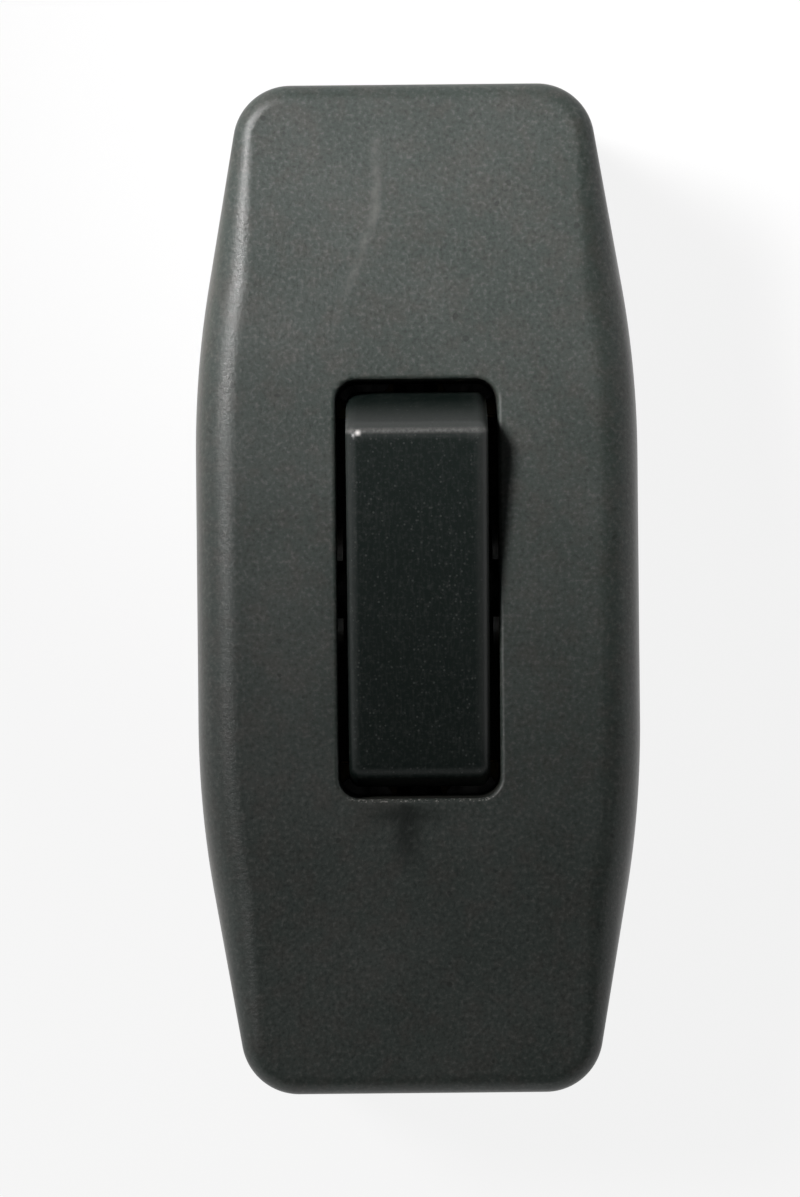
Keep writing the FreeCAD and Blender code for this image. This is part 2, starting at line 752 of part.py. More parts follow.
def clamping_block(item, name, side, end):
    """Terminal block with a slot for the wire and a hole for the screw that clamps it."""
    block = sketch(item, f"block_{name}", level=seat)
    x = sorted((f"{side} * block_inner", f"{side} * (block_inner + block_width)"), key=measure)
    rectangle(block, *x, *sorted((f"{end} * {block_start}", f"{end} * {block_end}"), key=measure))
    pad(item, block, "block_height")
    thread_radius = "(terminal_screw_radius + thread_clearance)"
    wire = sketch(item, f"wire_slot_{name}", "XZ", f"{-end} * {block_start}")
    centre, half = f"{side} * {block_place}", f"({thread_radius} + wire_slot_margin)"
    low, high = f"{seat} + wire_rise - wire_radius", f"{seat} + wire_rise + wire_radius"
    rectangle(wire, f"{centre} - {half}", f"{centre} + {half}", low, high)
    pocket(item, wire, "block_length", back=end < 0)
    thread = sketch(item, f"thread_hole_{name}", level=f"{seat} + block_height")
    small_round(thread, f"{side} * {block_place}", f"{end} * {block_middle}", thread_radius)
    pocket(item, thread, "block_height - wire_rise")


def fulcrum_terminal(name, side):
    """Terminal whose strip carries the fulcrum and the tab that the open bridge rests on."""
    item = body(f"fulcrum_terminal_{name}")
    left = f"{side} * pole_offset - bridge_width / 2"
    top = f"({seat} + strip_thickness)"
    tab_far = "bridge_reach * cos(bridge_tilt)"
    tab_top = f"{fulcrum} - bridge_reach * sin(bridge_tilt) - rest_gap"
    profile = sketch(item, f"fulcrum_profile_{name}", "YZ", left)
    outline(
        profile,
        [
            ("-strip_back", seat), (block_start, seat), (block_start, top),
            (tab_far, top), (tab_far, tab_top),
            (f"{tab_far} - rest_tab", tab_top), (f"{tab_far} - rest_tab", top),
            ("fulcrum_radius", top), ("fulcrum_radius", fulcrum), ("-fulcrum_radius", fulcrum),
            ("-fulcrum_radius", top), ("-strip_back", top),
        ],
        {8: ("0", fulcrum, 1)},
    )
    pad(item, profile, "bridge_width")
    clamping_block(item, f"fulcrum_{name}", side, 1)
    return item


def contact_terminal(name, side):
    """Terminal whose strip carries the fixed contact."""
    item = body(f"contact_terminal_{name}")
    strip = sketch(item, f"contact_strip_{name}", level=seat)
    left = f"{side} * pole_offset - bridge_width / 2"
    right = f"{side} * pole_offset + bridge_width / 2"
    rectangle(strip, left, right, f"-{block_start}", "-contact_reach + contact_radius + rest_tab / 2")
    pad(item, strip, "strip_thickness")
    clamping_block(item, f"contact_{name}", side, -1)
    return item


def cord_clamp(name, end):
    """Bar with a five-sided arch that is screwed down over the cord."""
    item = body(f"cord_clamp_{name}")
    profile = sketch(item, f"clamp_profile_{name}", "XZ")
    ear_top = f"({clamp_seat} + clamp_ear)"
    reach = f"({clamp_screw_x} + clamp_post_width / 2)"

    def arch(radius):
        """Right half of half an octagon about the cord, from its foot to its crown."""
        facet = f"{radius} * tan(22.5)"
        return [(radius, f"parting_height + {facet}"), (facet, f"parting_height + {radius}")]

    right = [("clamp_bore", clamp_seat), (reach, clamp_seat), (reach, ear_top), (clamp_crown, ear_top)]
    crown = [(f"-{x}", z) for x, z in reversed(arch(clamp_crown))]
    left = [(f"-{x}", z) for x, z in reversed(right)]
    bore = [(f"-{x}", z) for x, z in arch("clamp_bore")]
    outline(profile, right + arch(clamp_crown) + crown + left + bore + arch("clamp_bore")[::-1])
    pad(item, profile, "clamp_depth", middle=True)
    holes = sketch(item, f"clamp_holes_{name}", level=ear_top)
    for side in (1, -1):
        small_round(holes, f"{side} * {clamp_screw_x}", "0", "clamp_screw_radius + passage_clearance")
    pocket(item, holes, "clamp_ear")
    return place(item, y=f"{end} * {clamp_place}")


def screw(label, family, x, y, under_head, upward):
    """Slotted screw whose head bears at a height, with its shank running up or down from there.

    Head and shank are many-sided prisms.
    """
    head_height, length = f"{family}_head_height", f"{family}_screw_length"
    head = doc.addObject("Part::Prism", f"{label}_head")
    head.Polygon = small_sides
    bind(head, Circumradius=f"{family}_head_radius", Height=head_height)
    place(head, x, y, f"{under_head} - {head_height}" if upward else under_head)
    shank = doc.addObject("Part::Prism", f"{label}_shank")
    shank.Polygon = small_sides
    bind(shank, Circumradius=f"{family}_screw_radius", Height=length)
    place(shank, x, y, under_head if upward else f"{under_head} - {length}")
    solid = doc.addObject("Part::Fuse", f"{label}_solid")
    solid.Base = head
    solid.Tool = shank
    slot = doc.addObject("Part::Box", f"{label}_slot")
    bind(slot, Length=f"2 * {family}_head_radius", Width="slot_width", Height="slot_depth")
    top = f"{under_head} - {head_height}" if upward else f"{under_head} + {head_height} - slot_depth"
    place(slot, f"{x} - {family}_head_radius", f"{y} - slot_width / 2", top)
    item = doc.addObject("Part::Cut", label)
    item.Base = solid
    item.Tool = slot
    return item


def screw_group(label, family, places, under_head, upward=False):
    """Identical screws as one compound of separate solids."""
    item = doc.addObject("Part::Compound", label)
    item.Label = label
    item.Links = [
        screw(f"{family}_screw_{number}", family, x, y, under_head, upward)
        for number, (x, y) in enumerate(places, 1)
    ]
    doc.recompute()
    return item


both = (1, -1)
nodes = [upper_shell(), lower_shell(), rocker()]
for name, side in (("left", -1), ("right", 1)):
    nodes += [plunger(name, side), plunger_spring(name, side)]
    nodes += [contact_bridge(name, side), moving_contact(name, side), fixed_contact(name, side)]
    nodes += [fulcrum_terminal(name, side), contact_terminal(name, side)]
nodes += [cord_clamp("front", 1), cord_clamp("rear", -1)]
nodes.append(
    screw_group(
        "terminal_screws", "terminal",
        [(f"{side} * {block_place}", f"{end} * {block_middle}") for side in both for end in both],
        f"({seat} + block_height + terminal_head_gap)",
    )
)
nodes.append(
    screw_group(
        "cord_clamp_screws", "clamp",
        [(f"{side} * {clamp_screw_x}", f"{end} * {clamp_place}") for side in both for end in both],
        f"({clamp_seat} + clamp_ear)",
    )
)
nodes.append(
    screw_group(
        "housing_screws", "housing",
        [(f"{end} * {boss_x}", f"{end} * {boss_y}") for end in both],
        "housing_head_depth", upward=True,
    )
)
doc.recompute()

for item in doc.Objects:
    if "Invalid" in item.State or "Error" in item.State:
        raise RuntimeError(f"{item.Name} did not build: {item.State}")
for item in nodes:
    if item.Shape.isNull() or not item.Shape.isValid() or not item.Shape.Solids:
        raise RuntimeError(f"{item.Label} has no valid solid")
os.makedirs("parts", exist_ok=True)
for item in nodes:
    item.Shape.exportStep(f"parts/{item.Label}.step")
    print(item.Label, len(item.Shape.Solids), round(item.Shape.Volume, 2))
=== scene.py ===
import json
import math

import bpy
import numpy as np
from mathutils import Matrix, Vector


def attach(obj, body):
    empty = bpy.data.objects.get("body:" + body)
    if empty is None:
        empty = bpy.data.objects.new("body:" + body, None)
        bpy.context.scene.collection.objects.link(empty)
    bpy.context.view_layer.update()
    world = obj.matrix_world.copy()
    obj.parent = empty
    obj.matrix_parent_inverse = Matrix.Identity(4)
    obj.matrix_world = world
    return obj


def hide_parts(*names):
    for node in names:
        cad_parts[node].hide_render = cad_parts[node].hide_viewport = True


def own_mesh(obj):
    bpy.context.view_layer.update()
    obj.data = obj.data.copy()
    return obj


# Inline cord switch lying on a pale floor, seen from straight above.
# Lengths in the settings are millimetres in the frame of the CAD part: +Y along the cord, +Z up.

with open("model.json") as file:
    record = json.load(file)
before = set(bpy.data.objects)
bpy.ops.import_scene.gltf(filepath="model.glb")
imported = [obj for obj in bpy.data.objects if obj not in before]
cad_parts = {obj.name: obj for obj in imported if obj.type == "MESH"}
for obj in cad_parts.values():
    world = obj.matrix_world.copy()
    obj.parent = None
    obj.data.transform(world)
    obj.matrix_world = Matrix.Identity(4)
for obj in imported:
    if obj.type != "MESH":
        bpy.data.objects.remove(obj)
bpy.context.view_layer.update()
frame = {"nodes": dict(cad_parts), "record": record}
print("frame loaded:", len(frame["nodes"]), "nodes")

mm = 0.001
tiny = 1e-6
sharpAngle = math.radians(32)


# Arrays and meshes

def spread(start, stop, count):
    # count even steps from start, with stop left out
    return np.linspace(start, stop, count, endpoint=False)


def fourQuarters(quarter):
    # a quarter loop from the +X axis to the +Y axis, mirrored twice into the whole counter-clockwise loop
    second = (quarter * (-1, 1))[::-1]
    fourth = (quarter * (1, -1))[::-1]
    return np.concatenate((quarter[:-1], second[:-1], -quarter[:-1], fourth[:-1]))


def fourTimes(quarter):
    # one number for each point of a quarter loop, carried round the whole loop in the same order
    return np.tile(np.concatenate((quarter[:-1], quarter[:0:-1])), 2)


def ringAt(loop, height):
    # a flat loop lifted to a height, which is one number or one for each point
    return np.column_stack((loop, np.broadcast_to(height, len(loop))))


def blendRings(first, last, shares):
    # rings between two rings: first + share * (last - first)
    return [first + share * (last - first) for share in shares]


def gridPiece(name, rings, closed=False, firstPole=None, lastPole=None, wear=None):
    # rings is a grid of points: across rings runs one parameter, round each ring runs the other
    rings = np.asarray(rings, dtype=float)
    count, around = rings.shape[:2]
    points = rings.reshape(-1, 3)
    rows, steps = np.meshgrid(np.arange(count if closed else count - 1), np.arange(around), indexing="ij")
    nextRows = (rows + 1) % count
    nextSteps = (steps + 1) % around
    corners = ((rows, steps), (rows, nextSteps), (nextRows, nextSteps), (nextRows, steps))
    quads = np.stack([row * around + step for row, step in corners], axis=-1)
    faces = quads.reshape(-1, 4).tolist()
    turn = np.arange(around)
    following = (turn + 1) % around
    for pole, ring, flip in ((firstPole, 0, True), (lastPole, count - 1, False)):
        if pole is None:
            continue
        tip = np.full(around, len(points))
        points = np.vstack((points, pole))
        start, stop = (following, turn) if flip else (turn, following)
        faces += np.stack((ring * around + start, ring * around + stop, tip), axis=-1).tolist()
    mesh = bpy.data.meshes.new(name)
    mesh.from_pydata(points * mm, [], faces)
    mesh.shade_smooth()
    mesh.set_sharp_from_angle(angle=sharpAngle)
    worn = np.zeros(len(points), dtype=np.float32)
    if wear is not None:
        worn[: count * around] = np.repeat(np.asarray(wear, dtype=np.float32), around)
    mesh.attributes.new("edgeWear", "FLOAT", "POINT").data.foreach_set("value", worn)
    piece = bpy.data.objects.new(name, mesh)
    bpy.context.scene.collection.objects.link(piece)
    return piece


def seat(piece, body, slot, finish, *nodes):
    # a new piece rides on its body, takes its finish and stands for its CAD nodes
    piece.data.materials.append(finish)
    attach(piece, body)
    if nodes:
        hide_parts(*nodes)


def revolved(profile, around, centre=(0, 0)):
    # profile points (radius, height) turned about an upright axis: x = r cos a, y = r sin a
    turn = spread(0, 2 * math.pi, around)
    radius, height = np.asarray(profile, dtype=float).T[..., None]
    x = centre[0] + radius * np.cos(turn)
    y = centre[1] + radius * np.sin(turn)
    return np.stack((x, y, np.broadcast_to(height, x.shape)), axis=-1)


# Shader maths

class Wire:
    # a node socket that takes part in plain arithmetic
    def __init__(self, tree, socket=None):
        self.tree = tree
        self.socket = socket

    def node(self, kind, settings=None, sockets=None, output=0):
        made = self.tree.nodes.new("ShaderNode" + kind)
        for name, value in (settings or {}).items():
            setattr(made, name, value)
        for name, value in (sockets or {}).items():
            if isinstance(value, Wire):
                self.tree.links.new(value.socket, made.inputs[name])
            else:
                made.inputs[name].default_value = value
        return Wire(self.tree, made.outputs[output] if made.outputs else None)

    def calc(self, operation, *values):
        return self.node("Math", {"operation": operation}, dict(enumerate(values)))

    def __add__(self, other):
        return self.calc("ADD", self, other)

    def __radd__(self, other):
        return self.calc("ADD", other, self)

    def __sub__(self, other):
        return self.calc("SUBTRACT", self, other)

    def __rsub__(self, other):
        return self.calc("SUBTRACT", other, self)

    def __mul__(self, other):
        return self.calc("MULTIPLY", self, other)

    def __rmul__(self, other):
        return self.calc("MULTIPLY", other, self)

    def rise(self, low, high):
        # 0 below low, 1 above high, smooth between
        limits = {"Value": self, "From Min": low, "From Max": high}
        return self.node("MapRange", {"interpolation_type": "SMOOTHSTEP"}, limits)

    def bell(self, middle, width):
        # 1 at the middle, falling to 0 a width away
        return 1 - self.calc("ABSOLUTE", self - middle).rise(0, width)

    def mixed(self, share, colour, other):
        # a colour moved towards another by a share; the Mix node's colour sockets are 6, 7 and output 2
        return self.node("Mix", {"data_type": "RGBA"}, {0: share, 6: colour, 7: other}, 2)


def newFinish(name):
    finish = bpy.data.materials.new(name)
    finish.use_nodes = True
    tree = finish.node_tree
    tree.nodes.clear()
    return finish, Wire(tree)


def paintLayers(wire, look, layers):
    # the look's base colour, with the named colour of each layer laid over it by the layer's share
    tone = look["colour"]
    for share, name in layers:
        tone = wire.mixed(share, tone, look[name])
    return tone


def grainBump(wire, look, height):
    # the look's grain as a bump
    depth = look["grainHeight"] * mm
    return wire.node("Bump", None, {"Strength": look["grainStrength"], "Distance": depth, "Height": height})


def paintFinish(wire, sockets):
    # the shader at the end of a finish
    shader = wire.node("BsdfPrincipled", None, sockets)
    wire.node("OutputMaterial", None, {"Surface": shader})


def placeInMm(wire):
    # the object's own coordinates in millimetres, as a vector and as its three parts
    place = wire.node("TexCoord", None, None, "Object")
    vector = wire.node("VectorMath", {"operation": "SCALE"}, {0: place, "Scale": 1 / mm})
    parts = [wire.node("SeparateXYZ", None, {"Vector": vector}, part) for part in range(3)]
    return vector, *parts


def noise(wire, vector, scale, detail=2.0, roughness=0.5):
    # noise about 0.5, with scale in waves for each millimetre
    sockets = {"Vector": vector, "Scale": scale, "Detail": detail, "Roughness": roughness}
    return wire.node("TexNoise", None, sockets)


def stretched(wire, vector, scale):
    return wire.node("Mapping", None, {"Vector": vector, "Scale": scale})


def edgeWear(wire):
    # the wear that each new piece stores at its points, highest on its rounded edges
    return wire.node("Attribute", {"attribute_name": "edgeWear"}, None, "Fac")


# Finishes
# A pair in a look is where a mask rises from 0 to 1, or the middle and width of a bell.

shellLook = {
    "colour": (0.0345, 0.0452, 0.0397, 1),
    "brown": (0.0405, 0.0442, 0.0388, 1),
    "pale": (0.105, 0.108, 0.101, 1),
    "dark": (0.0105, 0.0145, 0.0122, 1),
    # colour of the painted sheen band round the top edge, partly dust
    "warm": (0.135, 0.12, 0.1, 1),
    # colour of the painted glints by the window, partly chips
    "glintAndChip": (0.3, 0.29, 0.27, 1),
    "roughness": 0.46,
    "roughnessDrift": 0.16,
    "grain": 3.4,
    "grainStrength": 0.45,
    "grainHeight": 0.06,
    "paleGrain": (0.5, 0.74),
    "paleGrainShare": 0.55,
    "darkGrain": (0.28, 0.5),
    "darkGrainShare": 0.6,
    "tintScale": 0.55,
    "tint": (0.42, 0.66),
    "cloudScale": 0.16,
    "cloud": (0.4, 0.75),
    "cloudShare": 0.1,
    "raggedScale": 0.9,
    "topFace": (22.0, 22.9),
    "wallHead": (20.8, 22.6),
    "wallCoat": 0.4,
    "coatRoughness": 0.3,
    "dustAndSheenFringe": (20.8, 1.7),
    "scuffX": -2.65,
    "scuffWidth": 0.6,
    "scuffBend": 26.3,
    "scuffSlope": 0.36,
    "scuffFoot": (16.0, 24.0),
    "scuffHead": (30.0, 32.0),
    "scuffRagged": (0.4, 0.7),
    "scuffShine": 0.08,
    "barX": (-1.0, 4.0),
    "barY": (-15.6, 1.2),
    "stemX": (-0.9, 1.7),
    "stemFoot": (-20.6, -16.5),
    "stemHead": (-15.2, -14.6),
    "grimeRagged": (0.24, 0.48),
    "grimeShine": 0.1,
    "pitScale": 1.3,
    "pits": (0.81, 0.84),
    "pitShare": 0.6,
    "glintChipScale": 6.5,
    "glintsAndChips": (0.54, 0.64),
    "glintChipWear": (0.2, 0.6),
    "glintChipX": (0.6, 7.0),
    "glintChipXRise": (0.05, 0.15),
    "glintChipY": (-14.6, 0.4),
}


def shellPlastic(look):
    # matt grey moulding: fine grain, cloudy handling marks, one pale scuff, grime, chips with painted glints
    # by the window, and a painted sheen band round the top edge
    finish, wire = newFinish("shellPlastic")
    vector, x, y, z = placeInMm(wire)
    worn = edgeWear(wire)
    tint = noise(wire, vector, look["tintScale"], 4.0, 0.7)
    cloud = noise(wire, vector, look["cloudScale"], 3.0)
    fine = noise(wire, vector, look["grain"], 3.0, 0.6)
    ragged = noise(wire, vector, look["raggedScale"], 4.0, 0.65)
    upward = z.rise(*look["topFace"])
    # the scuff runs along Y and leans towards -X below its bend
    belowBend = wire.calc("MAXIMUM", look["scuffBend"] - y, 0.0)
    acrossScuff = x - (look["scuffX"] - look["scuffSlope"] * belowBend)
    alongScuff = y.rise(*look["scuffFoot"]) * (1 - y.rise(*look["scuffHead"]))
    scuff = acrossScuff.bell(0.0, look["scuffWidth"]) * alongScuff * upward
    # grime hangs below the window's -Y edge: a bar and a stem
    bar = x.bell(*look["barX"]) * y.bell(*look["barY"])
    stem = x.bell(*look["stemX"]) * y.rise(*look["stemFoot"]) * (1 - y.rise(*look["stemHead"]))
    grime = wire.calc("MAXIMUM", bar, stem) * ragged.rise(*look["grimeRagged"]) * upward
    pits = noise(wire, vector, look["pitScale"], 0.0).rise(*look["pits"])
    # pale specks lie along the same edge of the window: painted glints, partly chipped flash
    alongEdge = x.bell(*look["glintChipX"]).rise(*look["glintChipXRise"]) * y.bell(*look["glintChipY"])
    speckle = noise(wire, vector, look["glintChipScale"], 2.0).rise(*look["glintsAndChips"])
    glintsAndChips = worn.rise(*look["glintChipWear"]) * alongEdge * speckle * upward
    # a warm pale band runs round the foot of the top edge: painted sheen of the pale surroundings, partly
    # dust
    dustAndSheenFringe = z.bell(*look["dustAndSheenFringe"]) * (0.2 + 0.3 * fine)
    tone = paintLayers(wire, look, (
        (tint.rise(*look["tint"]), "brown"),
        (cloud.rise(*look["cloud"]) * look["cloudShare"], "pale"),
        (fine.rise(*look["paleGrain"]) * look["paleGrainShare"], "pale"),
        ((1 - fine.rise(*look["darkGrain"])) * look["darkGrainShare"], "dark"),
        # painted sheen round the top edge, partly dust
        (dustAndSheenFringe, "warm"),
        (scuff * (0.25 + 0.6 * ragged.rise(*look["scuffRagged"])), "pale"),
        (grime, "dark"),
        (pits * look["pitShare"], "dark"),
        # painted glints along the window's edge, partly chips
        (glintsAndChips, "glintAndChip"),
    ))
    handled = (cloud - 0.5) * look["roughnessDrift"] - scuff * look["scuffShine"] - grime * look["grimeShine"]
    wall = 1 - z.rise(*look["wallHead"])
    paintFinish(wire, {
        "Base Color": tone,
        "Roughness": look["roughness"] + handled,
        "Normal": grainBump(wire, look, fine),
        "Coat Weight": wall * look["wallCoat"],
        "Coat Roughness": look["coatRoughness"],
    })
    return finish


rockerLook = {
    "colour": (0.003, 0.0078, 0.0062, 1),
    "pale": (0.06, 0.064, 0.062, 1),
    # colour of the painted highlight on the raised end's edge, partly rubbed wear
    "rubbedAndLit": (0.16, 0.16, 0.155, 1),
    # colour of the painted glint on the raised end's corner
    "glintBright": (0.8, 0.78, 0.76, 1),
    "roughness": 0.45,
    "roughnessDrift": 0.15,
    "edgeShine": 0.1,
    "specular": 0.32,
    "grain": 4.2,
    "grainStrength": 0.14,
    "grainHeight": 0.06,
    "paleGrain": (0.48, 0.72),
    "paleGrainShare": 0.24,
    "lineScale": (6.0, 1.1, 1.0),
    "lines": (0.48, 0.72),
    "lineShare": 0.13,
    "handled": (-13.5, -9.0),
    # the +X edge is paler by wear and by painted sheen
    "wornAndSheenRight": (3.0, 4.5),
    "rightEdgeSheen": (3.8, 4.2),
    "rightEdgeSheenShare": 0.16,
    "raised": (20.0, 22.0),
    # painted light on the raised end's face, and a painted highlight and glint on its edge
    "litFaceFoot": (10.7, 11.1),
    "litFaceHead": (11.2, 13.2),
    "litFaceShare": 0.7,
    "rubbedLitEdgeY": (10.84, 0.3),
    "rubbedLitEdgeGrain": (0.35, 0.65),
    "rubbedLitEdgeShare": 0.8,
    "glintSpotX": (-4.05, 0.3),
    "glintSpotY": (10.7, 0.3),
    "dustScale": 3.4,
    "dustChance": (0.55, 0.95),
    "dustSize": (0.16, 0.34),
    "dustHeight": (18.0, 19.0),
    "dustShare": 0.7,
    "clusterScale": 0.5,
    "cluster": (0.4, 0.65),
    "dustRight": {"x": (2.2, 3.2), "y": (1.5, 9.0)},
    "dustLeft": {"x": (-4.2, 0.9), "y": (0.5, 8.5)},
}


def rockerPlastic(look):
    # near-black moulding: drawn-out lines along Y, pale dust, paler edges from wear and painted sheen,
    # painted light on the raised end's face and edge with one painted glint
    finish, wire = newFinish("rockerPlastic")
    vector, x, y, z = placeInMm(wire)
    fine = noise(wire, vector, look["grain"], 3.0, 0.6)
    lines = noise(wire, stretched(wire, vector, look["lineScale"]), 1.0, 2.0)
    # dust lies in cells whose random number is high, in clusters, thicker at +X and along the -X edge
    cells = {"Vector": vector, "Scale": look["dustScale"]}
    dots = wire.node("TexVoronoi", None, cells, "Distance")
    chance = wire.node("TexVoronoi", None, cells, "Color")
    crowd = 0.16 * noise(wire, vector, look["clusterScale"], 2.0).rise(*look["cluster"])
    for patch in (look["dustRight"], look["dustLeft"]):
        crowd = crowd + 0.1 * (x.bell(*patch["x"]) * y.bell(*patch["y"]))
    dust = (chance + crowd).rise(*look["dustChance"]) * (1 - dots.rise(*look["dustSize"]))
    dust = dust * z.rise(*look["dustHeight"])
    # painted light: the raised end's face is painted paler towards its upper edge, where it catches the
    # light; that edge gets a painted highlight, partly rubbed wear, and one painted glint
    raised = z.rise(*look["raised"])
    litFace = y.rise(*look["litFaceFoot"]) * (1 - y.rise(*look["litFaceHead"])) * raised
    edge = y.bell(*look["rubbedLitEdgeY"]) * raised * (0.5 + 0.5 * fine.rise(*look["rubbedLitEdgeGrain"]))
    glintSpot = x.bell(*look["glintSpotX"]) * y.bell(*look["glintSpotY"]) * raised
    # handling wears the edges, less towards the lowered end; their paler tone is partly painted sheen,
    # strongest on the +X edge
    handled = y.rise(*look["handled"])
    worn = edgeWear(wire) * handled
    tone = paintLayers(wire, look, (
        (lines.rise(*look["lines"]) * look["lineShare"], "pale"),
        (fine.rise(*look["paleGrain"]) * look["paleGrainShare"], "pale"),
        # paler edges: wear and painted sheen, most on the +X side
        (worn * (0.2 + 0.45 * x.rise(*look["wornAndSheenRight"])), "pale"),
        (x.rise(*look["rightEdgeSheen"]) * handled * look["rightEdgeSheenShare"], "pale"),
        # painted light on the raised end's face, a painted highlight on its edge, partly rubbed, and a
        # painted glint
        (litFace * look["litFaceShare"], "pale"),
        (edge * look["rubbedLitEdgeShare"], "rubbedAndLit"),
        (glintSpot, "glintBright"),
        (dust * look["dustShare"], "pale"),
    ))
    paintFinish(wire, {
        "Base Color": tone,
        "Roughness": look["roughness"] + (fine - 0.5) * look["roughnessDrift"] - worn * look["edgeShine"],
        "Normal": grainBump(wire, look, fine),
        "Specular IOR Level": look["specular"],
    })
    return finish


metalLook = {
    # near-black colour used as painted shade under the window's ends
    "dust": (0.01, 0.01, 0.01, 1),
    "cloudScale": 0.7,
    "cloud": (0.45, 0.8),
    "tarnishShare": 0.6,
    "lineScale": (9.0, 0.8, 9.0),
    "lineDrift": 0.2,
    "cloudDrift": 0.08,
    "shadeX": (0.0, 9.0),
    "shadeXRise": (0.03, 0.2),
    "shadeY": (0.0, 22.0),
    "shadeYRise": (0.02, 0.13),
    "shelterY": (0.0, 12.0),
    "shelterRise": (0.1, 0.3),
    "dustHeight": (9.0, 10.5),
}
metals = {
    "brass": {
        "name": "stampedBrass",
        "colour": (0.72, 0.55, 0.26, 1),
        "tarnish": (0.36, 0.24, 0.1, 1),
        "roughness": 0.32,
    },
    "contact": {
        "name": "silverFace",
        "colour": (0.8, 0.79, 0.77, 1),
        "tarnish": (0.4, 0.38, 0.35, 1),
        "roughness": 0.25,
    },
    "steel": {
        "name": "platedSteel",
        "colour": (0.62, 0.62, 0.62, 1),
        "tarnish": (0.38, 0.37, 0.36, 1),
        "roughness": 0.3,
    },
}


def bareMetal(look):
    # metal with a cloudy tarnish and fine drawn lines, painted near black as painted shade where it lies deep
    # under the window's ends
    finish, wire = newFinish(look["name"])
    vector, x, y, z = placeInMm(wire)
    cloud = noise(wire, vector, look["cloudScale"], 3.0)
    lines = noise(wire, stretched(wire, vector, look["lineScale"]), 1.0, 2.0)
    # painted shade: near black deep under the window's ends, where little light reaches
    sheltered = y.bell(*look["shelterY"]).rise(*look["shelterRise"])
    underEnds = y.bell(*look["shadeY"]).rise(*look["shadeYRise"]) * (1 - sheltered)
    paintedShade = x.bell(*look["shadeX"]).rise(*look["shadeXRise"]) * underEnds * z.rise(*look["dustHeight"])
    tone = paintLayers(wire, look, (
        (cloud.rise(*look["cloud"]) * look["tarnishShare"], "tarnish"),
        (paintedShade * (0.55 + 0.6 * cloud), "dust"),
    ))
    rough = look["roughness"] + (lines - 0.5) * look["lineDrift"] + cloud * look["cloudDrift"]
    paintFinish(wire, {"Base Color": tone, "Roughness": rough, "Metallic": 1.0})
    return finish


finishes = {"shell": shellPlastic(shellLook), "rocker": rockerPlastic(rockerLook)}
for slot, metal in metals.items():
    finishes[slot] = bareMetal({**metalLook, **metal})
for row in frame["record"]["subparts"]:
    paint = frame["nodes"][row["node"]].data.materials
    paint.clear()
    paint.append(finishes[row["material_slot"]])
print("finishes made:", len(finishes))


# Upper shell

shell = {
    "halfLength": 35.0,
    "halfWidth": 15.4,
    "height": 23.0,
    "parting": 9.5,
    "kneePlace": 15.5,
    "taper": math.radians(10.2),
    "kneeRadius": 70.0,
    "cornerRadius": 4.0,
    "sideRounding": 2.9,
    "endRounding": 1.4,
    "rimEdge": 0.15,
    "rimWear": 0.3,
    "wall": 2.0,
    "ceiling": 20.8,
    "rebateInset": 1.0,
    "rebateTop": 10.8,
    "cordRadius": 4.0,
    "cordLip": 0.02,
    "windowHalfLength": 14.5,
    "windowHalfWidth": 5.6,
    "windowCorner": 1.5,
    "windowEdge": 0.3,
    "wellWall": 1.2,
    "wellBottom": 15.5,
    "slotRadius": 1.65,
    "pivot": 18.0,
    "wallShares": (0.02, 0.2, 0.4, 0.6, 0.8, 0.97),
    "topShares": (0.01, 0.05, 0.15, 0.3, 0.45, 0.6, 0.75, 0.88, 0.96, 0.99),
    "wellShares": (0.03, 0.3, 0.6, 1.0),
    "steps": {
        "side": 10, "knee": 14, "taper": 26, "corner": 22, "end": 10, "notch": 19,
        "slot": 16, "windowCorner": 18, "windowEnd": 26, "rim": 4, "rounding": 29, "windowEdge": 7,
    },
}


